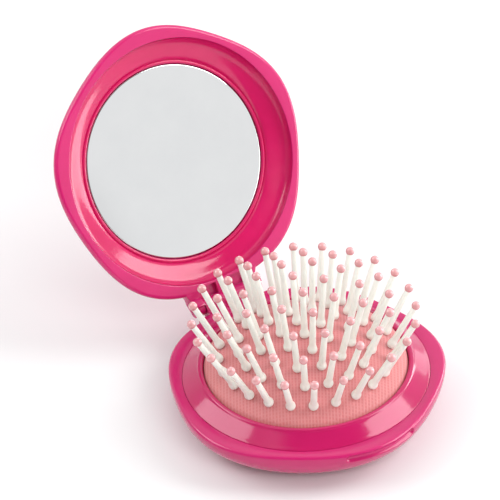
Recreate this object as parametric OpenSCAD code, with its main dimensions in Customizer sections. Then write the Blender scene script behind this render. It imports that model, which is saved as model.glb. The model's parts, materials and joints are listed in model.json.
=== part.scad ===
// Folding hairbrush with mirror.
// A lobed clamshell compact: the lid carries a round mirror, and the base carries a domed rubber
// cushion with 61 ball-tipped pins that sink into the base before the lid shuts.
// The base stands on the ring under it at z = 0, the hinge is at +Y and the thumb notch at -Y.
// The lid is drawn as it closes and then swung back to its open stop.

/* [Case outline] */
// Mean radius of the lobed outline
case_r = 36; // [35.5:0.25:38]
// How far the lobes swell and the flats between them sink
lobe_rise = 0.87; // [0:0.05:1.1]
// Number of soft lobes round the outline
lobe_count = 5; // [3:2:7]
// Radius of the rounded edge of both rims
edge_round = 1; // [0.6:0.1:1.4]
// Thickness of the moulded walls
wall = 2; // [1.6:0.1:2.2]

/* [Base] */
// Height of the rim over the table
base_h = 12; // [11:0.25:14]
// How far the edge of the standing ring lies inside the outline
foot_inset = 10; // [9:0.25:11]
// Width of the standing ring
foot_w = 1.7; // [1.4:0.1:2.2]
// Height of the standing ring's inner edge
foot_h = 1.5; // [1:0.1:2.5]
// How far the wall of the well stands in from the cushion's side
well_inset = 0.15; // [0.05:0.05:0.4]
// Thickness of the floor between the well and the outer wall
pocket_floor_t = 1.6; // [0.6:0.1:2.4]
// Length of the thumb notch under the front of the rim
notch_w = 21; // [14:1:26]
// Height of the thumb notch
notch_h = 1.8; // [1.6:0.1:2.4]
// Depth of the notch's upper lip under the rim's flat
notch_drop = 0.55; // [0.45:0.05:0.7]
// Depth of the thumb notch
notch_d = 0.9; // [0.4:0.1:1.2]
// Radius of the notch's bend as seen from above
notch_bend_r = 23.2; // [20:0.5:30]

/* [Collar] */
// Width of the base's flat rim outside the collar
base_rim_w = 3.66; // [3.2:0.02:4]
// Width of the collar that holds the cushion down
collar_w = 5.61; // [5:0.05:6]
// Height of the collar's lip over the rim
collar_h = 3.54; // [3:0.1:4]
// Width of the rounded lip round the mouth
lip_w = 1.7; // [1.4:0.1:2]
// Depth of the seat that the collar drops into
seat_d = 1.5; // [1.2:0.1:2]
// Width of the ledge that the collar's skirt stands on
ledge_w = 1.3; // [0.9:0.1:1.6]
// Depth of the hollow under the collar
collar_hollow_d = 1.7; // [1:0.1:2]

/* [Cushion] */
// Radius of the sphere that the cushion's dome is part of
dome_r = 46.3; // [44:0.1:48]
// Height of the dome's crown over the rim
crown_h = 11.9; // [11:0.1:12.5]
// Thickness of the rubber
rubber_t = 1.3; // [1:0.1:1.6]
// Radius of the roll at the cushion's edge
edge_roll = 2.5; // [2:0.1:3]
// Gap between the cushion's side and the collar's mouth
cushion_gap = 0.28; // [0.2:0.02:0.4]
// Thickness of the flange that the collar clamps
flange_t = 1.4; // [1:0.1:1.8]

/* [Pins] */
// Length of a pin from the cushion to the middle of its ball
pin_len = 14.5; // [12:0.25:15]
// Diameter of a ball tip
ball_d = 2.34; // [2:0.05:2.6]
// Diameter of the round foot of a pin
pin_foot_d = 2.6; // [2.3:0.05:2.9]
// Diameter of the shaft just above the foot
shaft_low_d = 1.8; // [1.7:0.05:2.2]
// Diameter of the shaft under the ball
shaft_top_d = 1.6; // [1.4:0.05:1.7]
// Height up to which the foot flares into the shaft
flare_h = 3; // [2.5:0.25:6]
// Diameter of the neck that goes through the rubber
neck_d = 1.8; // [1.5:0.05:2]
// Diameter of the flat head that holds the pin under the rubber
root_d = 3.2; // [2.8:0.1:3.6]
// Thickness of that head
root_t = 0.7; // [0.5:0.1:0.9]
// Radius of the nib that the ball tip is pressed on
nib_r = 0.5; // [0.4:0.05:0.6]
// How far the nib reaches past the middle of the ball
nib_reach = 0.3; // [0:0.05:0.5]
// Distance of the outer ring of pins from the cushion's edge
pin_margin = 4.215; // [4:0.05:5]
// Lean of the first ring of pins, as a share of the outer ring's
ring_share_1 = 0.27; // [0.25:0.01:0.29]
// Lean of the second ring, as a share of the outer ring's
ring_share_2 = 0.521; // [0.5:0.01:0.54]
// Lean of the third ring, as a share of the outer ring's
ring_share_3 = 0.76; // [0.75:0.01:0.77]
// Turn of the first ring about the upright axis
turn_1 = 15; // [5:1:25]
// Turn of the second ring
turn_2 = 17.5; // [10:0.5:25]
// Turn of the third ring
turn_3 = 16.6; // [12:0.1:22]
// Turn of the outer ring
turn_4 = 1.9; // [-2:0.1:6]

/* [Lid] */
// Height of the closed lid over its rim
lid_h = 7.4; // [7.3:0.1:9]
// How far the edge of the flat crown on the lid's back lies inside the outline
crown_inset = 14; // [12:0.5:15]
// Width of the lid's flat rim
lid_rim_w = 3.19; // [2.8:0.05:3.4]
// Angle between the closed and the fully open lid
open_angle = 119.4; // [100:0.2:125]

/* [Mirror] */
// Width of the frame from the lid's rim to the glass
frame_w = 7.15; // [7:0.05:8]
// Thickness of the glass
mirror_t = 0.8; // [0.7:0.1:1.2]
// Depth of the glass below the lid's rim
mirror_d = 4.74; // [4.6:0.05:4.9]
// Width of the ground bevel round the glass
bevel_w = 0.5; // [0.2:0.1:1]
// Width of the raised bead that rings the glass
bead_w = 1; // [0.8:0.05:1.2]
// Gap between the glass and the bead round it
glass_gap = 0.34; // [0.2:0.02:0.5]
// How far the adhesive pad's edge lies inside the edge of the glass
glue_inset = 5; // [2:0.5:10]
// Thickness of the adhesive pad
glue_t = 0.3; // [0.2:0.1:0.8]

/* [Hinge] */
// Length of the row of knuckles
hinge_w = 20.5; // [18:0.5:24]
// Distance of the hinge axis behind the flat of the outline
hinge_reach = 3.33; // [3.3:0.02:3.6]
// Height of the hinge axis over the base's rim
hinge_rise = 0.28; // [0.2:0.02:0.4]
// Radius of the base's two knuckles
base_knuckle_r = 2.2; // [1.8:0.05:2.3]
// Radius of the lid's knuckles
lid_knuckle_r = 1.9; // [1.6:0.05:2.1]
// Width of the lid's two end knuckles
end_knuckle_w = 2.75; // [2.2:0.05:3.2]
// Width of the lid's middle knuckle
mid_knuckle_w = 3.2; // [2.6:0.1:4]
// Height of the lid's neck over the base's rim
lid_neck_h = 3.6; // [3:0.1:4.4]
// Flare of the lid's neck into its rim
lid_neck_flare = 4.6; // [3:0.2:6]
// Height of the base's neck
base_neck_h = 3.2; // [2.8:0.1:4]
// Flare of the base's neck into its side
base_neck_flare = 2.6; // [1.6:0.2:4]
// How far the base's neck stands proud of the flat of the outline
neck_proud = 0.07; // [0.05:0.01:0.1]
// Radius of the steel hinge pin
hinge_pin_r = 0.7; // [0.5:0.05:0.9]

/* [Clearances] */
// Gap between the two rims when the case is shut
rim_gap = 0.1; // [0.05:0.05:0.2]
// Gap round a piece that is seated in another
seat_gap = 0.05; // [0.03:0.01:0.08]
// Radial gap of a pin in its hole
pin_gap = 0.04; // [0.02:0.01:0.08]
// Side gap between neighbouring knuckles
knuckle_gap = 0.2; // [0.15:0.05:0.3]
// Gap between hinge parts that swing past each other
swing_gap = 0.25; // [0.2:0.05:0.3]

/* [Hidden] */
$fn = 96;
foot_r = case_r - foot_inset;
opening_r = foot_r - foot_w;
collar_r = case_r - base_rim_w;
mouth_r = collar_r - collar_w;
recess_r = case_r - lid_rim_w;
mirror_r = recess_r - frame_w;
rim_z = base_h;
lid_z = rim_z + rim_gap;
flat_r = case_r - lobe_rise;
hinge_y = flat_r + hinge_reach;
hinge_z = rim_z + hinge_rise;
dome_z = rim_z + crown_h - dome_r;
cushion_r = mouth_r - cushion_gap;
cushion_low_z = rim_z - seat_d - seat_gap - flange_t;
end_knuckle_x = hinge_w / 2 - end_knuckle_w;
mid_knuckle_x = mid_knuckle_w / 2;
base_knuckle_w = end_knuckle_x - mid_knuckle_x - 2 * knuckle_gap;
base_knuckle_x = mid_knuckle_x + knuckle_gap;
// Back wall of the base's neck, which the stop heel of the lid rests against
neck_wall_y = flat_r + neck_proud;
// Where the inner ends of both necks lie, behind the walls of the rims
neck_root_y = flat_r - 2.4;
lean_4 = asin((cushion_r - pin_margin) / dome_r);
lean_1 = ring_share_1 * lean_4;
lean_2 = ring_share_2 * lean_4;
lean_3 = ring_share_3 * lean_4;
outline_steps = 120;
petal_count = 8;
pins_a_petal = 3;

pink = "#e0407a";
deep_pink = "#cf2f6b";
rubber_pink = "#d98080";
ivory = "#ece3db";
pearl = "#eebfc4";
silver = "#dfe1e3";
steel = "#b9bcc0";
foam = "#f2f2ee";

// ---- Lobed loft ----

// Swell of the outline at an angle: a lobe faces the thumb notch and a flat faces the hinge
function swell(angle) = -lobe_rise * sin(lobe_count * angle);

// One closed ring of points. A row is [mean radius, height, share of the lobes].
function ring_points(row) = [
    for (i = [0:outline_steps - 1])
        let (a = 360 * i / outline_steps, r = row[0] + row[2] * swell(a))
        [r * cos(a), r * sin(a), row[1]]
];

// Solid through a stack of rings, from the lowest row up
module lobed_loft(rows) {
    n = outline_steps;
    last = len(rows) - 1;
    points = [for (row = rows) each ring_points(row)];
    sides = [
        for (j = [0:last - 1], i = [0:n - 1])
            let (a = j * n + i, b = j * n + (i + 1) % n)
            each [[a, a + n, b + n], [a, b + n, b]]
    ];
    floor_cap = [[for (i = [0:n - 1]) i]];
    roof_cap = [[for (i = [n - 1:-1:0]) last * n + i]];
    polyhedron(points, concat(floor_cap, sides, roof_cap), convexity = 4);
}

// Quarter round between a rim's flat and its side, as [inset, depth] from the sharp corner
function rim_round(steps) = [
    for (i = [0:steps])
        let (a = 90 * i / steps)
        [edge_round * (1 - sin(a)), edge_round * (1 - cos(a))]
];

// Points along an arc of a section
function arc(x, z, r, from, to, steps) = [
    for (i = [0:steps])
        let (a = from + (to - from) * i / steps)
        [x + r * cos(a), z + r * sin(a)]
];

// Side of the base from the rounded edge (0) to the standing ring (1)
base_side_steps = 8;
base_side_power = 2;
function base_side(t) = [
    case_r - foot_inset * pow(t, base_side_power),
    rim_z - edge_round - (base_h - edge_round) * t,
    1 - t
];

// Where on that side the mean radius is r
function base_side_at(r) = pow((case_r - r) / foot_inset, 1 / base_side_power);

// Side of the lid from the rounded edge (0) to its flat crown (1)
lid_side_steps = 8;
function lid_side(t) = [
    case_r - crown_inset * (1 - cos(90 * t)),
    lid_z + edge_round + (lid_h - edge_round) * sin(90 * t),
    1 - t
];

base_rows = concat(
    [for (i = [base_side_steps:-1:1]) base_side(i / base_side_steps)],
    [for (p = [for (i = [3:-1:0]) rim_round(3)[i]]) [case_r - p[0], rim_z - p[1], 1]]
);
lid_rows = concat(
    [for (p = [for (i = [0:3]) rim_round(3)[i]]) [case_r - p[0], lid_z + p[1], 1]],
    [for (i = [1:lid_side_steps]) lid_side(i / lid_side_steps)]
);

// ---- Placing helpers ----

// Swings what is drawn in the closed place back to the open stop
module swing_open() {
    translate([0, hinge_y, hinge_z])
        rotate([-open_angle, 0, 0])
            translate([0, -hinge_y, -hinge_z])
                children();
}

// Extrudes a (y, z) profile along X, with its origin on the hinge axis
module along_hinge(x, w) {
    translate([x, hinge_y, hinge_z])
        rotate([90, 0, 90])
            linear_extrude(w)
                children();
}

// The same on both sides of the middle
module both_sides(x, w) {
    along_hinge(x, w) children();
    along_hinge(-x - w, w) children();
}

// Sets a piece on the dome, its Z along the dome's normal
module on_dome(lean, turn) {
    rotate([0, 0, turn])
        translate([0, 0, dome_z])
            rotate([0, lean, 0])
                translate([0, 0, dome_r])
                    children();
}

// One whole ring of pins
module pin_ring(count, lean, turn) {
    for (i = [0:count - 1])
        on_dome(lean, turn + 360 * i / count) children();
}

// The share of the outer ring that petal k carries
module outer_petal(k) {
    pitch = 360 / (petal_count * pins_a_petal);
    for (i = [0:pins_a_petal - 1])
        on_dome(lean_4, turn_4 + pitch * ((k - 1) * pins_a_petal + i)) children();
}

// Every pin place on the cushion
module every_pin() {
    on_dome(0, 0) children();
    pin_ring(6, lean_1, turn_1) children();
    pin_ring(12, lean_2, turn_2) children();
    pin_ring(18, lean_3, turn_3) children();
    pin_ring(24, lean_4, turn_4) children();
}

// ---- Base ----

// Room inside the base, from the collar's seat down to the opening in the standing ring
module base_room() {
    well_r = cushion_r - well_inset;
    tube_r = well_r + wall;
    pocket_r = collar_r - ledge_w;
    pocket_side_t = base_side_at(pocket_r + wall + lobe_rise);
    pocket_z = base_side(pocket_side_t)[1];
    pocket_low_t = base_side_at(tube_r + wall);
    pocket_low_z = base_side(pocket_low_t)[1] + pocket_floor_t;
    seat_z = rim_z - seat_d;
    rotate_extrude()
        polygon([
            [0, rim_z + 1],
            [collar_r + seat_gap, rim_z + 1],
            [collar_r + seat_gap, seat_z],
            [pocket_r, seat_z],
            [pocket_r, pocket_z],
            [tube_r, pocket_low_z],
            [tube_r, cushion_low_z - seat_gap],
            [well_r, cushion_low_z - seat_gap],
            [opening_r, foot_h],
            [opening_r, -1],
            [0, -1]
        ]);
}

// Flared neck that joins the row of knuckles to a rim, from height low to height high
module neck_plate(half_w, back_y, low, high, flare) {
    translate([0, 0, low])
        linear_extrude(high - low)
            difference() {
                translate([-half_w - flare, neck_root_y])
                    square([2 * (half_w + flare), back_y - neck_root_y]);
                for (side = [-1, 1])
                    translate([side * (half_w + flare), back_y])
                        circle(flare);
            }
}

// Section of the base's knuckles: a barrel on a web whose top slopes down to the rim
module base_knuckle_section() {
    root_y = neck_root_y + 0.4 - hinge_y;
    difference() {
        union() {
            circle(base_knuckle_r);
            polygon([
                [0, -base_knuckle_r],
                [root_y, -hinge_rise - base_neck_h],
                [root_y, -hinge_rise],
                [-hinge_reach, -hinge_rise],
                [-base_knuckle_r * cos(60), base_knuckle_r * sin(60)],
                [0, 0]
            ]);
        }
        circle(hinge_pin_r + pin_gap);
    }
}

// Arc-shaped groove under the front lobe for the thumb
module thumb_notch() {
    front_y = -(case_r + lobe_rise);
    half_angle = notch_w / 2 / notch_bend_r * 180 / PI;
    r = notch_h / 2;
    arc_r = notch_bend_r + r - notch_d;
    translate([0, front_y + notch_bend_r, rim_z - notch_drop - r])
        rotate([0, 0, -90 - half_angle])
            rotate_extrude(angle = 2 * half_angle)
                translate([arc_r, 0])
                    circle(r);
}

module base_shell() {
    half_w = hinge_w / 2 + 0.5;
    color(pink) {
        difference() {
            union() {
                lobed_loft(base_rows);
                neck_plate(half_w, neck_wall_y, rim_z - base_neck_h, rim_z, base_neck_flare);
            }
            base_room();
            thumb_notch();
        }
        both_sides(base_knuckle_x, base_knuckle_w) base_knuckle_section();
    }
}

// Ring that snaps into the base and clamps the cushion's flange
module cushion_collar() {
    lip_r = lip_w / 2;
    lip_x = mouth_r + lip_r;
    low_z = -seat_d;
    skirt_r = collar_r - ledge_w + 0.1;
    color(deep_pink)
        translate([0, 0, rim_z])
            rotate_extrude()
                polygon(concat(
                    [[mouth_r, low_z]],
                    arc(lip_x, collar_h - lip_r, lip_r, 180, 30, 9),
                    [
                        [collar_r, 0],
                        [collar_r, low_z + seat_gap],
                        [skirt_r, low_z + seat_gap],
                        [skirt_r, 1 - collar_hollow_d],
                        [mouth_r + lip_w, 1],
                        [mouth_r + lip_w, low_z]
                    ]
                ));
}

// Section of the cushion's outside, drawn in by a depth g
module cushion_section(g) {
    roll_x = cushion_r - edge_roll;
    roll_z = dome_z + sqrt(pow(dome_r - edge_roll, 2) - pow(roll_x, 2));
    far = 2 * edge_roll + 4;
    roll_lean = asin(roll_x / (dome_r - edge_roll));
    difference() {
        intersection() {
            translate([0, dome_z])
                circle(dome_r - g, $fn = 180);
            translate([0, cushion_low_z - 1])
                square([cushion_r - g, rim_z + 40]);
        }
        translate([roll_x, roll_z])
            polygon([[0, 0], [far, 0], [far, far], [far * sin(roll_lean), far * cos(roll_lean)]]);
    }
    translate([roll_x, roll_z])
        circle(edge_roll - g, $fn = 64);
}

module cushion() {
    flange_r = mouth_r + lip_w - 0.3;
    color(rubber_pink)
        difference() {
            rotate_extrude() {
                difference() {
                    cushion_section(0);
                    cushion_section(rubber_t);
                    translate([0, cushion_low_z - 2])
                        square([flange_r, 2]);
                }
                translate([cushion_r - rubber_t, cushion_low_z])
                    square([flange_r - cushion_r + rubber_t, flange_t]);
            }
            every_pin()
                translate([0, 0, -3 * rubber_t])
                    cylinder(h = 6 * rubber_t, d = neck_d + 2 * pin_gap);
        }
}

// ---- Pins ----

// One pin: a flat head under the rubber, a neck through it, a round foot on it and a slim shaft
module pin() {
    foot_r1 = pin_foot_d / 2;
    foot_z = foot_r1 + 0.1;
    head_z = -rubber_t - 0.1;
    shoulder_z = pin_len - ball_d / 2 + 0.05;
    color(ivory)
        rotate_extrude() {
            translate([0, head_z - root_t])
                square([root_d / 2, root_t]);
            translate([0, head_z - 0.1])
                square([neck_d / 2, foot_z - head_z]);
            intersection() {
                translate([0, foot_z])
                    circle(foot_r1, $fn = 48);
                translate([0, foot_z - foot_r1])
                    square([foot_r1, 2 * foot_r1]);
            }
            polygon([
                [0, foot_z],
                [foot_r1 * 0.985, foot_z + foot_r1 * 0.17],
                [shaft_low_d / 2, flare_h],
                [shaft_top_d / 2, shoulder_z],
                [0, shoulder_z]
            ]);
            translate([0, shoulder_z - 0.1])
                square([nib_r, pin_len + nib_reach - shoulder_z + 0.1]);
        }
}

// Ball tip pressed over the pin's nib
module ball_tip() {
    color(pearl)
        translate([0, 0, pin_len])
            difference() {
                sphere(ball_d / 2, $fn = 48);
                translate([0, 0, -ball_d])
                    cylinder(h = nib_reach + seat_gap + ball_d, r = nib_r + pin_gap);
            }
}

module pins_centre() {
    on_dome(0, 0) pin();
    pin_ring(6, lean_1, turn_1) pin();
}
module tips_centre() {
    on_dome(0, 0) ball_tip();
    pin_ring(6, lean_1, turn_1) ball_tip();
}
module pins_inner() {
    pin_ring(12, lean_2, turn_2) pin();
}
module tips_inner() {
    pin_ring(12, lean_2, turn_2) ball_tip();
}
module pins_middle() {
    pin_ring(18, lean_3, turn_3) pin();
}
module tips_middle() {
    pin_ring(18, lean_3, turn_3) ball_tip();
}

// ---- Hinge ----

module hinge_pin() {
    end_round = 0.25;
    length = hinge_w - 0.4;
    color(steel)
        translate([-length / 2, hinge_y, hinge_z])
            rotate([0, 90, 0])
                rotate_extrude()
                    polygon([
                        [0, 0],
                        [hinge_pin_r - end_round, 0],
                        [hinge_pin_r, end_round],
                        [hinge_pin_r, length - end_round],
                        [hinge_pin_r - end_round, length],
                        [0, length]
                    ]);
}

// Section of a lid knuckle with its arm up to the neck, in the closed place
module lid_knuckle_section(cheek) {
    root_y = neck_root_y + 0.4 - hinge_y;
    neck_low = rim_gap - hinge_rise;
    neck_high = lid_neck_h - hinge_rise;
    cheek_r = hinge_reach - neck_proud - swing_gap;
    difference() {
        union() {
            circle(lid_knuckle_r);
            polygon([
                [0, 0],
                [root_y, neck_low],
                [root_y, neck_high],
                [-lid_knuckle_r, neck_high],
                [lid_knuckle_r * cos(60), lid_knuckle_r * sin(60)]
            ]);
            if (cheek)
                intersection() {
                    circle(cheek_r);
                    polygon([[0, 0], [-9, 0], [-9, -9], [-2.6, -9]]);
                }
        }
        circle(hinge_pin_r + pin_gap);
    }
}

// ---- Lid ----

module lid_shell() {
    cavity_h = mirror_d + mirror_t + glue_t + 2 * seat_gap;
    slot_w = base_knuckle_w + 2 * knuckle_gap;
    slot_x = base_knuckle_x - knuckle_gap;
    color(pink) {
        swing_open()
            difference() {
                union() {
                    lobed_loft(lid_rows);
                    neck_plate(hinge_w / 2, hinge_y - lid_knuckle_r, lid_z, rim_z + lid_neck_h, lid_neck_flare);
                    both_sides(end_knuckle_x, end_knuckle_w) lid_knuckle_section(true);
                    along_hinge(-mid_knuckle_x, mid_knuckle_w) lid_knuckle_section(false);
                }
                translate([0, 0, lid_z])
                    rotate_extrude()
                        polygon([
                            [0, -1],
                            [recess_r, -1],
                            [recess_r, cavity_h * 0.54],
                            [recess_r - frame_w * 0.25, cavity_h * 0.74],
                            [recess_r - frame_w * 0.59, cavity_h * 0.86],
                            [recess_r - frame_w * 0.78, cavity_h],
                            [0, cavity_h]
                        ]);
                both_sides(slot_x, slot_w) {
                    circle(base_knuckle_r + swing_gap);
                    translate([-hinge_reach - 1.8, -hinge_rise - 1])
                        square([hinge_reach + 1.8, hinge_rise + 1 + 1.4]);
                    square([4, 4]);
                }
                both_sides(-0.1, hinge_w) circle(hinge_pin_r + pin_gap);
            }
        stop_heel();
    }
}

// Heel under the lid's middle knuckle that meets the base's neck when the lid is fully open
module stop_heel() {
    reach = hinge_y - neck_wall_y - 0.1;
    along_hinge(-mid_knuckle_x, mid_knuckle_w)
        difference() {
            translate([-reach, -lid_knuckle_r])
                square([reach, lid_knuckle_r * 0.85]);
            circle(hinge_pin_r + pin_gap);
        }
}

// Front and back of the mirror's frame from the rim inwards, each point as a share of the
// band's width and of the mirror's depth
frame_front = [
    [0, 0.074], [0.053, 0.295], [0.175, 0.496], [0.368, 0.622],
    [0.595, 0.707], [0.806, 0.812], [0.937, 0.949]
];
frame_back = [[0.771, 1.034], [0.525, 0.907], [0.228, 0.696], [0, 0.338]];

// Ring that lines the lid's recess and holds the glass
module mirror_frame() {
    hole_r = mirror_r + glass_gap;
    bead_r = bead_w / 2;
    top = mirror_d + mirror_t + glue_t;
    outer = recess_r - 2 * seat_gap;
    band_w = outer - hole_r - bead_w;
    color(deep_pink)
        swing_open()
            translate([0, 0, lid_z])
                rotate_extrude()
                    polygon(concat(
                        [for (p = frame_front) [outer - p[0] * band_w, p[1] * mirror_d]],
                        arc(hole_r + bead_r, mirror_d + 0.18, bead_r, -10, -180, 8),
                        [[hole_r, top], [hole_r + bead_w * 1.1, top], [hole_r + bead_w * 1.3, top - 0.5]],
                        [for (p = frame_back) [outer - p[0] * band_w, p[1] * mirror_d]]
                    ));
}

module mirror() {
    bevel_h = mirror_t * 0.3;
    color(silver)
        swing_open()
            translate([0, 0, lid_z + mirror_d])
                rotate_extrude()
                    polygon([
                        [0, 0],
                        [mirror_r - bevel_w, 0],
                        [mirror_r, bevel_h],
                        [mirror_r, mirror_t],
                        [0, mirror_t]
                    ]);
}

module mirror_adhesive() {
    color(foam)
        swing_open()
            translate([0, 0, lid_z + mirror_d + mirror_t + seat_gap])
                cylinder(h = glue_t, r = mirror_r - glue_inset);
}

base_shell();
cushion_collar();
cushion();
hinge_pin();
lid_shell();
mirror_frame();
mirror();
mirror_adhesive();
pins_centre();
tips_centre();
pins_inner();
tips_inner();
pins_middle();
tips_middle();
for (k = [1:petal_count]) {
    outer_petal(k) pin();
    outer_petal(k) ball_tip();
}
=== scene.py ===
import json
import math
import bmesh
import bpy
from mathutils import Matrix, Vector


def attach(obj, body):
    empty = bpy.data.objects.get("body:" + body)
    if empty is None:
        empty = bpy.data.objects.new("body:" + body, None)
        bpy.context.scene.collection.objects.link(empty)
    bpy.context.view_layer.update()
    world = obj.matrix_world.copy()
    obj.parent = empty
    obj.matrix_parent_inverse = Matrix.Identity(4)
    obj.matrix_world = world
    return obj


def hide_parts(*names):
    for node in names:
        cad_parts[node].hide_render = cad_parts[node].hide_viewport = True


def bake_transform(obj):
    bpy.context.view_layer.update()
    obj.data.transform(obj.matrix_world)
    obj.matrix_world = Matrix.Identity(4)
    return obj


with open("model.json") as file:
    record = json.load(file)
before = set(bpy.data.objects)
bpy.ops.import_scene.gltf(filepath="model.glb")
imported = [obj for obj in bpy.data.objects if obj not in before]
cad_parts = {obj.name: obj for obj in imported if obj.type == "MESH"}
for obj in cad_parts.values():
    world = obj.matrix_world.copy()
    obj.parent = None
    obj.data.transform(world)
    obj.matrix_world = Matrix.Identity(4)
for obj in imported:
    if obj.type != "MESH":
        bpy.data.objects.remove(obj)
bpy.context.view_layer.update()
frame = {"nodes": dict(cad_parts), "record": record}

MM = 0.001
scene = bpy.context.scene

# ---- sizes, in mm, as in part.scad but for narrower seams round the cushion, frame and glass ----
# outline of both halves: mean radius, height and number of the lobes, rounding of the edge
CASE_R, LOBE, LOBES, EDGE = 36.0, 0.87, 5, 1.0
# base: rim height, standing ring's radius, the opening inside it and the height of its land
BASE_H, FOOT_R, OPEN_R, FOOT_H = 12.0, 26.0, 24.3, 1.5
# the collar's seat in the rim, the ledge under the cushion's flange and the well below it
SEAT_D, LEDGE_R, LEDGE_Z, WELL_R = 1.5, 28.3, 9.0, 26.3
SEAT_Z = BASE_H - SEAT_D
# collar: outer radius, mouth, height over the rim, inner radius of its skirt, and its fit in the seat
COLLAR_R, MOUTH_R, COLLAR_H, SKIRT_R, FIT = 32.34, 26.73, 3.54, 28.43, 0.05
# cushion: radius of the dome, crown over the rim, thickness, rolled edge, outer radius and flange
DOME_R, CROWN, RUBBER, ROLL = 46.3, 11.9, 1.3, 2.5
DOME_Z = BASE_H + CROWN - DOME_R
CUSHION_R = MOUTH_R - 0.12
FLANGE_T = 1.4
FLANGE_Z = SEAT_Z - FIT - FLANGE_T
# rings of pins as (count, lean and turn in degrees); the outer ring stands 4.495 mm inside the mouth
OUTER_LEAN = math.degrees(math.asin((MOUTH_R - 4.495) / DOME_R))
RINGS = [
    (1, 0, 0),
    (6, 0.27 * OUTER_LEAN, 15),
    (12, 0.521 * OUTER_LEAN, 17.5),
    (18, 0.76 * OUTER_LEAN, 16.6),
    (24, OUTER_LEAN, 1.9),
]
OUTER_GROUPS = 8
# thumb notch in the base's side: radius, half width and depth of the groove, and its height
NOTCH_R, NOTCH_W, NOTCH_D = 0.9, 10.5, 0.9
NOTCH_Z = BASE_H - 0.55 - NOTCH_R
# hinge: reach of its axis beyond the flat of the rim, rise over the rim, and how far the lid opens
REACH, RISE, OPEN_DEG = 3.33, 0.28, 119.4
FLAT_Y = CASE_R - LOBE
HINGE_Y, HINGE_Z = FLAT_Y + REACH, BASE_H + RISE
# knuckles: half the row's length, end width, half the middle width, gaps beside and round them, radii
HALF, END_W, MID, GAP, SWING = 10.25, 2.75, 1.6, 0.2, 0.25
BASE_KNUCKLE_R, LID_KNUCKLE_R, BORE_R, NECK_H = 2.2, 1.9, 0.74, 3.6
WEB_X0, WEB_X1 = MID + GAP, HALF - END_W - GAP
# lid: parting plane, height over it, radius of the flat crown, depth and radius of the recess
LID_Z, LID_H, CROWN_R, CAVITY, RECESS_R = BASE_H + 0.1, 7.4, 22.0, 5.94, 32.81
# mirror's frame: outer radius, depth and hole; then the glass: radius, thickness and rounded edge
OUT, DEPTH, HOLE = 32.77, 4.74, 25.92
GLASS, GLASS_T, GLASS_EDGE = 25.72, 0.8, 0.34
# woven grain of the rubber
GRAIN_PITCH, GRAIN_TURN = 0.85, math.radians(33)

# ---- camera, fitted to the photograph's round edges ----
CAMERA_TURN, CAMERA_HEIGHT, CAMERA_ROLL = -31.34, 37.53, -2.83
CAMERA_AT = (-0.62038, -0.99365, 0.95276)
SENSOR, LENS = 36, 414.97


def make_camera():
    turn, height, roll = (math.radians(a) for a in (CAMERA_TURN, CAMERA_HEIGHT, CAMERA_ROLL))
    right = Vector((math.cos(turn), math.sin(turn), 0))
    back = Vector((math.sin(turn) * math.cos(height), -math.cos(turn) * math.cos(height), math.sin(height)))
    up = back.cross(right)
    rolled_right = right * math.cos(roll) + up * math.sin(roll)
    rolled_up = up * math.cos(roll) - right * math.sin(roll)
    data = bpy.data.cameras.new("camera")
    data.sensor_width, data.lens = SENSOR, LENS
    data.clip_start, data.clip_end = 0.05, 20
    camera = bpy.data.objects.new("camera", data)
    scene.collection.objects.link(camera)
    place = Matrix((rolled_right, rolled_up, back)).transposed().to_4x4()
    place.translation = Vector(CAMERA_AT)
    camera.matrix_world = place
    scene.camera = camera


make_camera()


# ---- materials ----
class Nodes:
    """Small builder for a material's node tree."""

    def __init__(self, name):
        self.material = bpy.data.materials.new(name)
        self.material.use_nodes = True
        self.tree = self.material.node_tree
        self.tree.nodes.clear()
        self.out = self.tree.nodes.new("ShaderNodeOutputMaterial")
        self.shader = self.tree.nodes.new("ShaderNodeBsdfPrincipled")
        self.tree.links.new(self.shader.outputs[0], self.out.inputs[0])
        self.pos = self.tree.nodes.new("ShaderNodeTexCoord").outputs["Object"]

    def link(self, a, b):
        self.tree.links.new(a, b)

    def feed(self, socket, value):
        self.link(value, self.shader.inputs[socket])

    def set(self, **kw):
        for k, v in kw.items():
            self.shader.inputs[k.replace("_", " ")].default_value = v

    def node(self, kind, **kw):
        n = self.tree.nodes.new("ShaderNode" + kind)
        for k, v in kw.items():
            setattr(n, k, v)
        return n

    def scaled(self, v, turn=(0, 0, 0)):
        n = self.node("Mapping")
        n.inputs["Scale"].default_value = v
        n.inputs["Rotation"].default_value = turn
        self.link(self.pos, n.inputs[0])
        return n.outputs[0]

    def noise(self, scale, detail=2.0, rough=0.5, vec=None):
        n = self.node("TexNoise")
        n.inputs["Scale"].default_value = scale
        n.inputs["Detail"].default_value = detail
        n.inputs["Roughness"].default_value = rough
        self.link(vec or self.pos, n.inputs["Vector"])
        return n.outputs["Fac"]

    def span(self, v, a, b, c=0.0, d=1.0):
        n = self.node("MapRange")
        self.link(v, n.inputs[0])
        for i, x in enumerate((a, b, c, d)):
            n.inputs[i + 1].default_value = x
        return n.outputs[0]

    def math(self, op, a, b=None):
        n = self.node("Math", operation=op)
        for i, x in enumerate((a, b)):
            if x is None:
                continue
            if isinstance(x, (int, float)):
                n.inputs[i].default_value = x
            else:
                self.link(x, n.inputs[i])
        return n.outputs[0]

    def mix(self, fac, a, b):
        n = self.node("Mix", data_type="RGBA")
        if isinstance(fac, (int, float)):
            n.inputs[0].default_value = fac
        else:
            self.link(fac, n.inputs[0])
        for i, x in ((6, a), (7, b)):
            if isinstance(x, tuple):
                n.inputs[i].default_value = (*x, 1)
            else:
                self.link(x, n.inputs[i])
        return n.outputs[2]

    def bump(self, height, strength, distance, under=None):
        n = self.node("Bump")
        n.inputs["Strength"].default_value = strength
        n.inputs["Distance"].default_value = distance
        self.link(height, n.inputs["Height"])
        if under is not None:
            self.link(under, n.inputs["Normal"])
        return n.outputs[0]


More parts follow.
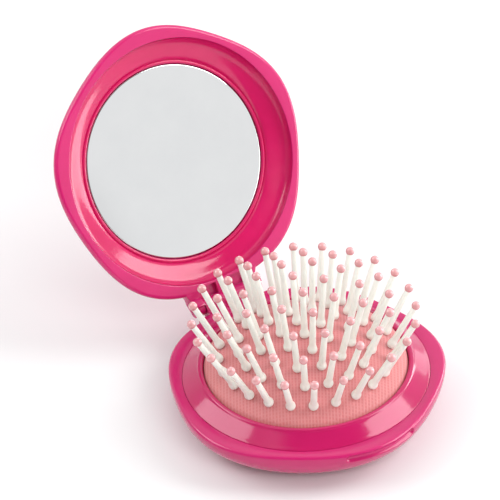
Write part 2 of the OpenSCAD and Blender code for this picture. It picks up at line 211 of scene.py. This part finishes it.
def case_plastic(name, light, dark, rough=(0.16, 0.26)):
    """Glossy moulded plastic: flow marks in the colour, orange peel and fine rub marks in the gloss."""
    n = Nodes(name)
    flow = n.noise(55, 3, 0.6, n.scaled((1, 1, 2.4)))
    n.feed("Base Color", n.mix(n.span(flow, 0.35, 0.65), dark, light))
    rub = n.noise(420, 4, 0.7, n.scaled((1, 0.25, 1), (0.3, 0.2, 0.9)))
    n.feed("Roughness", n.span(rub, 0.3, 0.75, *rough))
    peel = n.noise(700, 1.5, 0.4)
    n.feed("Normal", n.bump(peel, 0.05, 0.0002, n.bump(flow, 0.06, 0.0006)))
    n.set(IOR=1.46, Coat_Weight=0.25, Coat_Roughness=0.06)
    n.set(Subsurface_Weight=0.12, Subsurface_Scale=0.0012)
    n.set(Subsurface_Radius=(1.0, 0.25, 0.4))
    return n.material


def rubber():
    """Soft salmon rubber with a woven grain: fine pale ribs over darker squares."""
    n = Nodes("cushion_rubber")
    patch = n.noise(160, 3, 0.6)
    lay = n.scaled((1, 1, 1), (0, 0, GRAIN_TURN))
    ribs = []
    for k in ("X", "Y"):
        w = n.node("TexWave", wave_type="BANDS", bands_direction=k, wave_profile="SIN")
        w.inputs["Scale"].default_value = math.pi / (10 * GRAIN_PITCH * MM)
        w.inputs["Distortion"].default_value = 0.5
        w.inputs["Detail"].default_value = 1
        w.inputs["Detail Scale"].default_value = 0.4
        n.link(lay, w.inputs["Vector"])
        ribs.append(n.math("POWER", w.outputs["Fac"], 2.2))
    grid = n.math("MAXIMUM", ribs[0], n.math("MULTIPLY", ribs[1], 0.5))
    col = n.mix(n.span(patch, 0.3, 0.7), (0.56, 0.155, 0.162), (0.61, 0.182, 0.186))
    n.feed("Base Color", n.mix(n.span(grid, 0, 1, 0, 0.5), col, (0.72, 0.33, 0.325)))
    n.feed("Roughness", n.span(patch, 0.2, 0.8, 0.55, 0.68))
    n.feed("Normal", n.bump(grid, 0.4, 0.00012))
    n.set(IOR=1.42, Sheen_Weight=0.1, Sheen_Roughness=0.5)
    n.set(Subsurface_Weight=0.15, Subsurface_Scale=0.0006)
    n.set(Subsurface_Radius=(1.0, 0.4, 0.35))
    return n.material


def ivory():
    """Milky nylon that light passes into."""
    n = Nodes("pin_ivory")
    cloud = n.noise(120, 2, 0.4)
    n.feed("Base Color", n.mix(n.span(cloud, 0.3, 0.7), (0.80, 0.83, 0.77), (0.83, 0.86, 0.80)))
    n.feed("Roughness", n.span(cloud, 0.3, 0.7, 0.3, 0.36))
    n.feed("Normal", n.bump(n.noise(1500, 2, 0.5), 0.02, 0.00005))
    n.set(IOR=1.48, Subsurface_Weight=0.25, Subsurface_Scale=0.001)
    n.set(Subsurface_Radius=(1.0, 0.85, 0.8))
    return n.material


def pearl():
    """Pearly rose lacquer: the sheen makes its rim paler than its middle."""
    n = Nodes("tip_pearl")
    cloud = n.noise(500, 2, 0.5)
    n.feed("Base Color", n.mix(n.span(cloud, 0.3, 0.7), (0.62, 0.285, 0.295), (0.70, 0.34, 0.345)))
    n.feed("Roughness", n.span(cloud, 0.2, 0.8, 0.2, 0.28))
    n.set(IOR=1.5, Coat_Weight=1.0, Coat_Roughness=0.05, Coat_IOR=1.6)
    n.set(Sheen_Weight=0.6, Sheen_Roughness=0.35, Sheen_Tint=(1.0, 0.86, 0.88, 1.0))
    return n.material


def mirror_glass():
    n = Nodes("mirror_glass")
    haze = n.noise(90, 4, 0.6)
    n.feed("Base Color", n.mix(n.span(haze, 0.35, 0.65), (0.745, 0.75, 0.755), (0.765, 0.77, 0.772)))
    n.feed("Roughness", n.span(haze, 0.3, 0.7, 0.004, 0.02))
    n.set(Metallic=1.0)
    return n.material


def drawn_steel():
    n = Nodes("hinge_steel")
    lines = n.noise(900, 3, 0.6, n.scaled((0.05, 1, 1)))
    n.feed("Base Color", n.mix(lines, (0.5, 0.5, 0.52), (0.66, 0.66, 0.68)))
    n.feed("Roughness", n.span(lines, 0.3, 0.7, 0.25, 0.42))
    n.set(Metallic=1.0)
    return n.material


def foam():
    n = Nodes("adhesive_foam")
    cells = n.node("TexVoronoi")
    cells.inputs["Scale"].default_value = 2200
    n.link(n.pos, cells.inputs["Vector"])
    n.feed("Base Color", n.mix(cells.outputs["Distance"], (0.62, 0.62, 0.58), (0.85, 0.85, 0.82)))
    n.feed("Normal", n.bump(cells.outputs["Distance"], 0.4, 0.0001))
    n.set(Roughness=0.9)
    return n.material


MAT = {
    # The lid's pink is the plastic's own colour. The base, collar and frame are the same plastic, and their
    # copies below are darker: painted shade that evens out how the lamps light them against the lid.
    "case": case_plastic("case_pink", (0.60, 0.014, 0.148), (0.56, 0.011, 0.134)),
    "case_base": case_plastic("case_pink_base_painted_shade", (0.53, 0.011, 0.130), (0.50, 0.008, 0.118)),
    "collar": case_plastic("collar_pink_painted_shade", (0.49, 0.008, 0.104), (0.46, 0.006, 0.094), (0.1, 0.16)),
    "bezel": case_plastic("bezel_pink_painted_shade", (0.60, 0.009, 0.112), (0.56, 0.007, 0.100), (0.1, 0.16)),
    "cushion_rubber": rubber(),
    "pin_ivory": ivory(),
    "tip_pearl": pearl(),
    "mirror_glass": mirror_glass(),
    "hinge_steel": drawn_steel(),
    "adhesive_foam": foam(),
}

SLOT = {part["node"]: part["material_slot"] for part in frame["record"]["subparts"]}
for node_name, node_object in frame["nodes"].items():
    for slot in node_object.material_slots:
        slot.link = "OBJECT"
        slot.material = MAT[SLOT[node_name]]


# ---- mesh helpers ----
def to_mesh(bm, name):
    me = bpy.data.meshes.new(name)
    bm.to_mesh(me)
    bm.free()
    return me


def dressed(me, name, mat, sharp=32):
    """Object with one material, smooth but for its edges sharper than an angle in degrees."""
    for p in me.polygons:
        p.use_smooth = True
    me.set_sharp_from_angle(angle=math.radians(sharp))
    me.materials.clear()
    me.materials.append(MAT[mat])
    o = bpy.data.objects.new(name, me)
    scene.collection.objects.link(o)
    return o


def swell(t):
    """How far the lobes push the outline out at an angle."""
    return -LOBE * math.sin(LOBES * t)


def loft(name, loop, mat, angles=720, push=None):
    """Closed ring through a loop of section points (mean radius, z, share of the lobes), in mm."""
    if isinstance(angles, int):
        angles = [2 * math.pi * k / angles for k in range(angles)]
    bm = bmesh.new()
    rows = []
    for t in angles:
        row = []
        for r, z, share in loop:
            rr = r + share * swell(t)
            if push:
                rr -= push(t, rr, z, share)
            row.append(bm.verts.new((rr * math.cos(t) * MM, rr * math.sin(t) * MM, z * MM)))
        rows.append(row)
    for a, b in zip(rows, rows[1:] + rows[:1]):
        for i in range(len(loop)):
            j = (i + 1) % len(loop)
            bm.faces.new((a[i], b[i], b[j], a[j]))
    if min(r for r, z, share in loop) < 0.1:
        bmesh.ops.remove_doubles(bm, verts=bm.verts, dist=0.00005)
    bmesh.ops.recalc_face_normals(bm, faces=bm.faces)
    return dressed(to_mesh(bm, name), name, mat)


def bend(cx, cz, r, a0, a1, n, share=0.0):
    """Section points round an arc from one angle in degrees to another."""
    angles = [math.radians(a0 + (a1 - a0) * i / n) for i in range(n + 1)]
    return [(cx + r * math.cos(a), cz + r * math.sin(a), share) for a in angles]


def line(a, b, n):
    """The section points between two ends, without the ends."""
    return [tuple(a[k] + (b[k] - a[k]) * i / n for k in range(3)) for i in range(1, n)]


def spline(p0, p1, p2, p3, u):
    """Catmull-Rom value between p1 and p2."""
    square = 2 * p0 - 5 * p1 + 4 * p2 - p3
    cube = 3 * p1 - p0 - 3 * p2 + p3
    return 0.5 * (2 * p1 + (p2 - p0) * u + square * u * u + cube * u ** 3)


def curve(pts, n):
    """Smooth curve through section points."""
    out = []
    for i in range(len(pts) - 1):
        near = (pts[max(i - 1, 0)], pts[i], pts[i + 1], pts[min(i + 2, len(pts) - 1)])
        for k in range(n):
            out.append(tuple(spline(*(p[c] for p in near), k / n) for c in range(3)))
    out.append(pts[-1])
    return out


def boolean(a, b, how):
    """Join b to a or cut it away, and remove b."""
    m = a.modifiers.new("cut", "BOOLEAN")
    m.operation, m.object, m.solver = how, b, "MANIFOLD"
    depsgraph = bpy.context.evaluated_depsgraph_get()
    me = bpy.data.meshes.new_from_object(a.evaluated_get(depsgraph))
    a.modifiers.clear()
    a.data = me
    bpy.data.objects.remove(b)


def prism(corners, along, round_):
    """Solid from a flat outline, in mm, pushed along a vector, with its hard edges rounded."""
    bm = bmesh.new()
    face = bm.faces.new([bm.verts.new((x * MM, y * MM, z * MM)) for x, y, z in corners])
    pushed = bmesh.ops.extrude_face_region(bm, geom=[face])["geom"]
    ends = [v for v in pushed if isinstance(v, bmesh.types.BMVert)]
    bmesh.ops.translate(bm, verts=ends, vec=[step * MM for step in along])
    bmesh.ops.recalc_face_normals(bm, faces=bm.faces)
    if round_:
        hard = [e for e in bm.edges if e.is_manifold and e.calc_face_angle() > math.radians(35)]
        bmesh.ops.bevel(bm, geom=hard, offset=round_ * MM, segments=3, profile=0.5, affect="EDGES")
    o = bpy.data.objects.new("prism", to_mesh(bm, "prism"))
    scene.collection.objects.link(o)
    return o


def slab(outline, x0, x1, round_=0.0):
    """A (y, z) outline about the hinge axis, pushed along X."""
    return prism([(x0, HINGE_Y + y, HINGE_Z + z) for y, z in outline], (x1 - x0, 0, 0), round_)


def plate(outline, z0, z1, round_=0.0):
    """An (x, y) outline, pushed upwards."""
    return prism([(x, y, z0) for x, y in outline], (0, 0, z1 - z0), round_)


def disc(r, n=72):
    return [(r * math.cos(2 * math.pi * i / n), r * math.sin(2 * math.pi * i / n)) for i in range(n)]


def necked(half_w, back_y, flare, root_y):
    """Plan of a neck with a concave flare on each side."""
    side = []
    for i in range(13):
        a = math.radians(90 * i / 12)
        x, y = half_w + flare - flare * math.cos(a), back_y - flare * math.sin(a)
        if y > root_y:
            side.append((x, y))
    side.append((side[-1][0] + 0.6, root_y))
    return [(-x, y) for x, y in reversed(side)] + side


def opened():
    """Turn about the hinge axis from shut, as the lid is drawn, to fully open."""
    axis = Vector((0, HINGE_Y * MM, HINGE_Z * MM))
    turn = Matrix.Rotation(math.radians(-OPEN_DEG), 4, "X")
    return Matrix.Translation(axis) @ turn @ Matrix.Translation(-axis)


# ---- cushion ----
def on_dome(lean, turn):
    a, b = math.radians(lean), math.radians(turn)
    out = DOME_R * math.sin(a)
    return Vector((out * math.cos(b), out * math.sin(b), DOME_Z + DOME_R * math.cos(a)))


FEET = [on_dome(lean, turn + 360 * i / n) for n, lean, turn in RINGS for i in range(n)]


def rolled_edge(inset):
    """Section from the flange up over the roll, as (radius, z, normal's lean), and the roll's last lean."""
    rx = CUSHION_R - ROLL
    rz = DOME_Z + math.sqrt((DOME_R - ROLL) ** 2 - rx ** 2)
    top = math.degrees(math.asin(rx / (DOME_R - ROLL)))
    pts = [(CUSHION_R - inset, FLANGE_Z + (rz - FLANGE_Z) * i / 10, 90.0) for i in range(10)]
    for i in range(12):
        lean = 90 - (90 - top) * i / 12
        a = math.radians(lean)
        pts.append((rx + (ROLL - inset) * math.sin(a), rz + (ROLL - inset) * math.cos(a), lean))
    return pts, top


def dimple(v, z):
    """Height of the skin near a pin: a hollow under its foot with a low ring round it."""
    near = min((v - f).length for f in FEET if abs(f.z - z) < 3.5)
    if near >= 3.2:
        return 0.0
    return 0.05 * math.exp(-(((near - 2.5) / 0.6) ** 2)) - 0.28 * math.exp(-((near / 1.75) ** 2))


def skin_point(r, z, lean, t, inset, down):
    """Point of a skin, in metres, at an angle round the cushion and a depth under its face."""
    a = math.radians(lean)
    normal = Vector((math.sin(a) * math.cos(t), math.sin(a) * math.sin(t), math.cos(a)))
    v = Vector((r * math.cos(t), r * math.sin(t), z))
    rise = dimple(v, z) if inset == 0 and lean < 60 else 0.0
    return (v + normal * (rise - down)) * MM


def skin(name, inset, low, high, thick=0.12, steps=432):
    """One ring of the cushion's skin between two leans; low None starts at the flange."""
    pts, start = rolled_edge(inset) if low is None else ([], low)
    n = max(2, round((start - high) / 0.32))
    r = DOME_R - inset
    for i in range(n + 1):
        lean = start + (high - start) * i / n
        pts.append((r * math.sin(math.radians(lean)), DOME_Z + r * math.cos(math.radians(lean)), lean))
    bm = bmesh.new()
    layers = []
    for down in (0, thick):
        rows = []
        for p in pts:
            turns = [2 * math.pi * k / steps for k in range(steps)] if p[0] >= 1e-6 else [0]
            rows.append([bm.verts.new(skin_point(*p, t, inset, down)) for t in turns])
        layers.append(rows)
    face_, back_ = layers
    bands = [(a, b, False) for a, b in zip(face_, face_[1:])]
    bands += [(a, b, True) for a, b in zip(back_, back_[1:])]
    bands.append((face_[0], back_[0], True))
    if len(face_[-1]) > 1:
        bands.append((face_[-1], back_[-1], False))
    for a, b, flip in bands:
        for k in range(steps):
            j = (k + 1) % steps
            f = [a[k], a[j], b[j], b[k]] if len(b) > 1 else [a[k], a[j], b[0]]
            bm.faces.new(f[::-1] if flip else f)
    bm.normal_update()
    return dressed(to_mesh(bm, name), name, "cushion_rubber", 50)


CENTRE_LEAN, INNER_LEAN, MIDDLE_LEAN = RINGS[1][1], RINGS[2][1], RINGS[3][1]
for tag, inset in (("skin", 0.0), ("lining", RUBBER - 0.12)):
    edge = skin(f"cushion_edge_{tag}", inset, None, MIDDLE_LEAN)
    ring = skin(f"cushion_ring_{tag}", inset, MIDDLE_LEAN, INNER_LEAN)
    core = skin(f"cushion_core_{tag}", inset, INNER_LEAN, 0)
    for o in (edge, ring, core):
        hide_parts("cushion")
    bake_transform(edge)
    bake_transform(ring)
    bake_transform(core)


# ---- base ----
def notch(t, r, z, share):
    """Depth of the thumb notch: a round groove with closed ends and a soft lip all round."""
    if share <= 0 or r < 30:
        return 0.0
    s = abs((t - 1.5 * math.pi) * r)
    u = math.hypot(max(s - (NOTCH_W - NOTCH_R), 0), z - NOTCH_Z) / NOTCH_R
    if u < 0.85:
        return NOTCH_D * math.sqrt(1 - u * u)
    if u > 1.25:
        return 0.0
    k = (1.25 - u) / 0.4
    return NOTCH_D * 0.527 * k * k * (1.9 - 0.9 * k)


def base_side(t):
    """Point of the base's hollow side at a share of the way down to the standing ring."""
    return (CASE_R - (CASE_R - FOOT_R) * t ** 2, BASE_H - EDGE - (BASE_H - EDGE) * t, 1 - t)


def side_steps():
    """Shares of the way down the side, finer towards the rim, where the notch is."""
    low = [1 - i / 60 for i in range(1, 50)]
    return low + [low[-1] * (1 - i / 36) for i in range(1, 36)]


def base_angles():
    """Angles of the base's sections, finer at the notch."""
    fine = [a / 6 for a in range(-114, 115)]
    coarse = [19 + a / 2 for a in range(1, 644)]
    return [1.5 * math.pi + math.radians(a) for a in fine + coarse]


def build_base():
    """Side, rounded edge, rim, seat, well and standing ring in one loft, with the neck and two knuckles."""
    seat_r = COLLAR_R + FIT
    loop = [(FOOT_R - 0.15, 0, 0.0)] + [base_side(t) for t in side_steps()]
    loop += bend(CASE_R - EDGE, BASE_H - EDGE, EDGE, 0, 90, 24, 1.0)
    loop += [(seat_r + 0.12, BASE_H, 0.0), (seat_r + 0.03, BASE_H - 0.04, 0.0), (seat_r, BASE_H - 0.14, 0.0)]
    loop += [(seat_r, SEAT_Z, 0.0), (LEDGE_R, SEAT_Z, 0.0), (LEDGE_R, LEDGE_Z, 0.0), (WELL_R, LEDGE_Z, 0.0)]
    loop += [(OPEN_R, FOOT_H, 0.0), (OPEN_R, 0.2, 0.0), (OPEN_R + 0.2, 0, 0.0)]
    body = loft("base_case", loop, "case", base_angles(), notch)
    root_y = FLAT_Y - 2.0
    neck = plate(necked(HALF + 0.5, FLAT_Y + 0.07, 2.6, root_y), BASE_H - 3.2, BASE_H - 0.02, 0.2)
    boolean(body, neck, "UNION")
    web = [
        (0, -BASE_KNUCKLE_R),
        (root_y - HINGE_Y, -RISE - 3.2),
        (root_y - HINGE_Y, -RISE),
        (-REACH, -RISE),
        (-BASE_KNUCKLE_R * 0.5, BASE_KNUCKLE_R * math.sin(math.radians(60))),
        (0, BASE_KNUCKLE_R * 0.6),
    ]
    for x0, x1 in ((-WEB_X1, -WEB_X0), (WEB_X0, WEB_X1)):
        boolean(body, slab(disc(BASE_KNUCKLE_R), x0, x1), "UNION")
        boolean(body, slab(web, x0, x1), "UNION")
        boolean(body, slab(disc(BORE_R, 32), x0 - 1, x1 + 1), "DIFFERENCE")
    # The base wears the darker copy of the pink, which is painted shade.
    base = dressed(body.data, "base_moulding", "case_base")
    bpy.data.objects.remove(body)
    return base


base = build_base()
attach(base, "base")
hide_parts("base_shell")


# ---- collar ----
def build_collar():
    """Rounded lip at the mouth, a crease, the cone down to the rim and the skirt in its seat."""
    top = BASE_H + COLLAR_H
    lip_r = 0.85
    loop = [(MOUTH_R, SEAT_Z, 0.0), (MOUTH_R, top - 1.2, 0.0)]
    loop += bend(MOUTH_R + lip_r, top - lip_r, lip_r, 180, 45, 18)
    crease = [(1.451, 0.249), (1.56, 0.37), (1.68, 0.51), (1.85, 0.66)]
    crease = [(MOUTH_R + out, top - down, 0.0) for out, down in crease]
    loop += curve(crease, 4)[1:]
    loop += line(crease[-1], (COLLAR_R - 0.2, BASE_H + 0.13, 0.0), 8)
    loop += bend(COLLAR_R - 0.2, BASE_H - 0.05, 0.2, 52, 0, 4)
    loop += [(COLLAR_R, SEAT_Z + FIT, 0.0), (SKIRT_R, SEAT_Z + FIT, 0.0)]
    # The collar wears the darker copy of the pink, which is painted shade.
    return loft("collar_ring", loop, "collar")


collar = build_collar()
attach(collar, "base")
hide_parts("cushion_collar")


# ---- lid ----
def lid_side(t):
    """Point of the lid's side at a share of the way from its rounded edge to its crown."""
    a = math.radians(90 * t)
    inward = (CASE_R - CROWN_R) * (1 - math.cos(a))
    return (CASE_R - inward, LID_Z + EDGE + (LID_H - EDGE) * math.sin(a), 1 - t)


def lid_body():
    """Recess, rim, side and crown in one closed loft, drawn shut."""
    recess = [(0.02, CAVITY), (27.23, CAVITY), (28.59, 5.1), (31.02, 4.4), (RECESS_R, 3.2), (RECESS_R, 0.25)]
    loop = [(r, LID_Z + z, 0.0) for r, z in recess]
    loop += bend(RECESS_R + 0.22, LID_Z + 0.22, 0.22, 180, 270, 4)[1:]
    loop += bend(CASE_R - EDGE, LID_Z + EDGE, EDGE, -90, 0, 10, 1.0)
    loop += [lid_side(i / 40) for i in range(1, 41)]
    loop += [(CROWN_R - 10, LID_Z + LID_H, 0.0), (0.02, LID_Z + LID_H, 0.0)]
    return loft("lid_case", loop, "case")


def add_lid_knuckles(body):
    """Two end knuckles with cheeks and a middle one, each on an arm to the neck."""
    root = REACH + 2
    arm = [
        (0, 0),
        (-root, 0.1 - RISE),
        (-root, NECK_H - RISE),
        (-LID_KNUCKLE_R, NECK_H - RISE),
        (LID_KNUCKLE_R * 0.5, LID_KNUCKLE_R * math.sin(math.radians(60))),
    ]
    cheek_r = REACH - 0.07 - SWING
    quarter = [math.radians(a) for a in range(180, 255, 5)]
    cheek = [(0, 0)] + [(cheek_r * math.cos(a), cheek_r * math.sin(a)) for a in quarter]
    for x0, x1, end in ((-HALF, -HALF + END_W, True), (HALF - END_W, HALF, True), (-MID, MID, False)):
        boolean(body, slab(disc(LID_KNUCKLE_R), x0, x1), "UNION")
        boolean(body, slab(arm, x0, x1), "UNION")
        if end:
            boolean(body, slab(cheek, x0, x1, 0.15), "UNION")


def cut_lid_slots(body):
    """Room for the base's knuckles to turn in, and the bore for the hinge pin."""
    back = -REACH - 1.8
    under = [(back, -RISE - 1), (0, -RISE - 1), (0, 1.4), (back, 1.4)]
    behind = [(0, 0), (4, 0), (4, 4), (0, 4)]
    for x0, x1 in ((-WEB_X1 - GAP, -WEB_X0 + GAP), (WEB_X0 - GAP, WEB_X1 + GAP)):
        for outline in (disc(BASE_KNUCKLE_R + SWING), under, behind):
            boolean(body, slab(outline, x0, x1), "DIFFERENCE")
    boolean(body, slab(disc(BORE_R, 32), -HALF - 1, HALF + 1), "DIFFERENCE")


def build_lid():
    body = lid_body()
    neck = necked(HALF, HINGE_Y - LID_KNUCKLE_R, 4.6, FLAT_Y - 1.9)
    boolean(body, plate(neck, LID_Z + 0.02, BASE_H + NECK_H, 0.25), "UNION")
    add_lid_knuckles(body)
    cut_lid_slots(body)
    body.data.transform(opened())
    # the heel that stops the open lid against the base's neck
    front, back, low, high = 0.17 - REACH, -0.9, -LID_KNUCKLE_R, -LID_KNUCKLE_R * 0.15
    boolean(body, slab([(front, low), (back, low), (back, high), (front, high)], -MID, MID), "UNION")
    lid = dressed(body.data, "lid_moulding", "case")
    bpy.data.objects.remove(body)
    return lid


lid = build_lid()
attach(lid, "lid")
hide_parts("lid_shell")


# ---- pins and ball tips ----
PIN_BULB = [
    (0, -0.15), (0.62, -0.15), (0.98, 0.0), (1.2, 0.32), (1.3, 0.75), (1.29, 1.15),
    (1.2, 1.55), (1.06, 1.95), (0.955, 2.35), (0.905, 2.8), (0.89, 3.4), (0.885, 4.5),
]
PIN_TOP, TIP_Z, TIP_R, PIN_SIDES, TIP_STEPS = 13.6, 14.5, 1.17, 28, 20


def pin_profile():
    """A round foot that narrows to a shaft with a slight taper, as (radius, height) over the dome."""
    foot_r, foot_z = PIN_BULB[-1]
    shaft = [(foot_r - 0.095 * i / 6, foot_z + (PIN_TOP - foot_z) * i / 6) for i in range(1, 7)]
    return PIN_BULB + shaft + [(0, PIN_TOP)]


def tip_profile():
    angles = [math.pi * i / TIP_STEPS for i in range(1, TIP_STEPS)]
    round_ = [(TIP_R * math.sin(a), TIP_Z - TIP_R * math.cos(a)) for a in angles]
    return [(0, TIP_Z - TIP_R)] + round_ + [(0, TIP_Z + TIP_R)]


def lathe(bm, profile, place, n):
    """Turn a profile of (radius, height), in mm, about its axis and put it in its place."""
    rows = []
    for r, h in profile:
        turns = [2 * math.pi * k / n for k in range(n)] if r else [0]
        ring = [Vector((r * MM * math.cos(t), r * MM * math.sin(t), h * MM)) for t in turns]
        rows.append([bm.verts.new(place @ v) for v in ring])
    for a, b in zip(rows, rows[1:]):
        for k in range(n):
            j = (k + 1) % n
            if len(a) == 1:
                bm.faces.new((a[0], b[j], b[k]))
            elif len(b) == 1:
                bm.faces.new((a[k], a[j], b[0]))
            else:
                bm.faces.new((a[k], a[j], b[j], b[k]))


def turned(name, profile, seats, mat):
    """The same turned piece on each seat; no reflection shows it, so the mirror stays plain."""
    bm = bmesh.new()
    for place in seats:
        lathe(bm, profile, place, PIN_SIDES)
    bmesh.ops.recalc_face_normals(bm, faces=bm.faces)
    o = dressed(to_mesh(bm, name), name, mat)
    o.visible_glossy = False
    return o


def seat(lean, turn):
    """Place on the dome, with Z along its normal."""
    to_lean = Matrix.Translation((0, 0, DOME_Z * MM)) @ Matrix.Rotation(math.radians(lean), 4, "Y")
    return Matrix.Rotation(math.radians(turn), 4, "Z") @ to_lean @ Matrix.Translation((0, 0, DOME_R * MM))


def ring_seats(ring):
    count, lean, turn = ring
    return [seat(lean, turn + 360 / count * i) for i in range(count)]


groups = {
    "centre": ring_seats(RINGS[0]) + ring_seats(RINGS[1]),
    "inner": ring_seats(RINGS[2]),
    "middle": ring_seats(RINGS[3]),
}
outer = ring_seats(RINGS[4])
per_group = len(outer) // OUTER_GROUPS
for g in range(OUTER_GROUPS):
    groups[f"outer_{g + 1}"] = outer[g * per_group:(g + 1) * per_group]
for key, seats in groups.items():
    for kind, profile, mat in (("pins", pin_profile(), "pin_ivory"), ("tips", tip_profile(), "tip_pearl")):
        o = turned(f"{kind}_{key}_turned", profile, seats, mat)
        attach(o, f"brush_{key}")
        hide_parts(f"{kind}_{key}")


# ---- mirror's frame ----
# front of the frame from its outer edge to the hole, as shares of its width and depth
BEZEL_FRONT = [
    (0, 0.05), (0.02, 0.18), (0.06, 0.33), (0.15, 0.475), (0.29, 0.575),
    (0.46, 0.645), (0.64, 0.715), (0.81, 0.795), (0.93, 0.88), (1.0, 0.99),
]


def build_bezel():
    """Bowl-shaped front, rounded lip at the hole and a back that follows the recess."""
    width = OUT - HOLE - 1.0
    foot_z = LID_Z + 5.84
    loop = curve([(OUT - a * width, LID_Z + b * DEPTH, 0.0) for a, b in BEZEL_FRONT], 5)
    loop += bend(HOLE + 0.5, LID_Z + DEPTH + 0.1, 0.5, -20, -180, 12)
    loop += [(HOLE, foot_z, 0.0), (HOLE + 1.1, foot_z, 0.0)]
    loop += [(OUT - inset, LID_Z + z, 0.0) for inset, z in ((4.4, 4.9), (3, 4.3), (1.3, 3.3), (0, 1.6))]
    # The frame wears the darker copy of the pink, which is painted shade.
    bezel = loft("mirror_bezel", loop, "bezel")
    bezel.data.transform(opened())
    return bezel


bezel = build_bezel()
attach(bezel, "lid")
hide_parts("mirror_frame")


# ---- mirror ----
def build_mirror():
    """Flat round glass with a rounded front edge."""
    face_z = LID_Z + DEPTH
    flat_r = GLASS - GLASS_EDGE
    loop = [(0.02, face_z, 0.0), (flat_r, face_z, 0.0)]
    loop += bend(flat_r, face_z + GLASS_EDGE, GLASS_EDGE, -90, 0, 5)[1:]
    loop += [(GLASS, face_z + GLASS_T, 0.0), (0.02, face_z + GLASS_T, 0.0)]
    glass = loft("mirror_disc", loop, "mirror_glass", 360)
    glass.data.transform(opened())
    return glass


glass = build_mirror()
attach(glass, "lid")
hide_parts("mirror")


# ---- floor, lights and surroundings, in metres ----
def make_floor(half=3):
    me = bpy.data.meshes.new("floor")
    corners = [(-half, -half, 0), (half, -half, 0), (half, half, 0), (-half, half, 0)]
    me.from_pydata(corners, [], [(0, 1, 2, 3)])
    o = bpy.data.objects.new("floor", me)
    scene.collection.objects.link(o)
    n = Nodes("floor")
    n.feed("Base Color", n.mix(n.noise(3, 2, 0.5), (0.77, 0.77, 0.77), (0.79, 0.79, 0.79)))
    n.set(Roughness=0.9)
    me.materials.append(n.material)
    return o


floor = make_floor()


def soft_light(name, at, size, power, aim=(0, 0.02, 0.03)):
    data = bpy.data.lights.new(name, "AREA")
    data.shape = "RECTANGLE"
    data.size, data.size_y = size
    data.energy = power
    o = bpy.data.objects.new(name, data)
    scene.collection.objects.link(o)
    o.location = at
    o.rotation_euler = (Vector(at) - Vector(aim)).to_track_quat("Z", "Y").to_euler()
    return o


def direction(turn, height, distance):
    """Place at a distance from the middle of the open compact, in a direction given in degrees."""
    a, e = math.radians(turn), math.radians(height)
    flat = distance * math.cos(e)
    return (flat * math.cos(a), flat * math.sin(a) + 0.02, distance * math.sin(e) + 0.03)


soft_light("softbox_right", direction(-31, 40, 1.0), (0.50, 0.62), 5.6)
soft_light("softbox_left", direction(142, 42, 1.0), (0.7, 0.5), 4.2)
soft_light("softbox_low", direction(12, 7, 0.9), (0.8, 0.2), 0.9)
fill = soft_light("softbox_front", direction(-103, 38, 1.0), (0.6, 0.4), 4.7)
fill.visible_glossy = False
card = soft_light("reflector_card", (0.235, -0.06, 0.036), (0.24, 0.07), 0.26, aim=(0.0, 0.05, 0.036))
card.visible_diffuse = False

PALE, DARK = (1.0, 1.005, 1.01, 1), (0.15, 0.15, 0.15, 1)


def make_world():
    """Pale all round, but dark over the front, behind the camera and at the far left."""
    world = bpy.data.worlds.new("studio")
    scene.world = world
    world.use_nodes = True
    tree = world.node_tree
    tree.nodes.clear()
    out = tree.nodes.new("ShaderNodeOutputWorld")
    background = tree.nodes.new("ShaderNodeBackground")
    tree.links.new(background.outputs[0], out.inputs[0])
    sky = tree.nodes.new("ShaderNodeTexCoord").outputs["Generated"]
    axes = tree.nodes.new("ShaderNodeSeparateXYZ")
    tree.links.new(sky, axes.inputs[0])

    def ramp(value, a, b):
        n = tree.nodes.new("ShaderNodeMapRange")
        n.interpolation_type = "SMOOTHSTEP"
        tree.links.new(value, n.inputs[0])
        n.inputs[1].default_value, n.inputs[2].default_value = a, b
        return n.outputs[0]

    def combine(operation, a, b):
        n = tree.nodes.new("ShaderNodeMath")
        n.operation = operation
        for socket, x in zip(n.inputs, (a, b)):
            if isinstance(x, float):
                socket.default_value = x
            else:
                tree.links.new(x, socket)
        return n.outputs[0]

    def toward(way, a, b):
        n = tree.nodes.new("ShaderNodeVectorMath")
        n.operation = "DOT_PRODUCT"
        tree.links.new(sky, n.inputs[0])
        n.inputs[1].default_value = way
        return ramp(n.outputs["Value"], a, b)

    high, front = ramp(axes.outputs["Z"], 0.5, 0.7), ramp(axes.outputs["Y"], -0.08, -0.26)
    over_front = combine("MULTIPLY", high, front)
    behind_camera = toward((-0.515, -0.857, 0.0), 0.62, 0.85)
    far_left = combine("MULTIPLY", toward((-1.0, 0.15, 0.0), 0.35, 0.8), 0.75)
    mixer = tree.nodes.new("ShaderNodeMix")
    mixer.data_type = "RGBA"
    darkness = combine("MAXIMUM", combine("MAXIMUM", over_front, behind_camera), far_left)
    tree.links.new(darkness, mixer.inputs[0])
    mixer.inputs[6].default_value = PALE
    mixer.inputs[7].default_value = DARK
    tree.links.new(mixer.outputs[2], background.inputs[0])
    background.inputs[1].default_value = 1.0


make_world()
scene.view_settings.view_transform = "Standard"
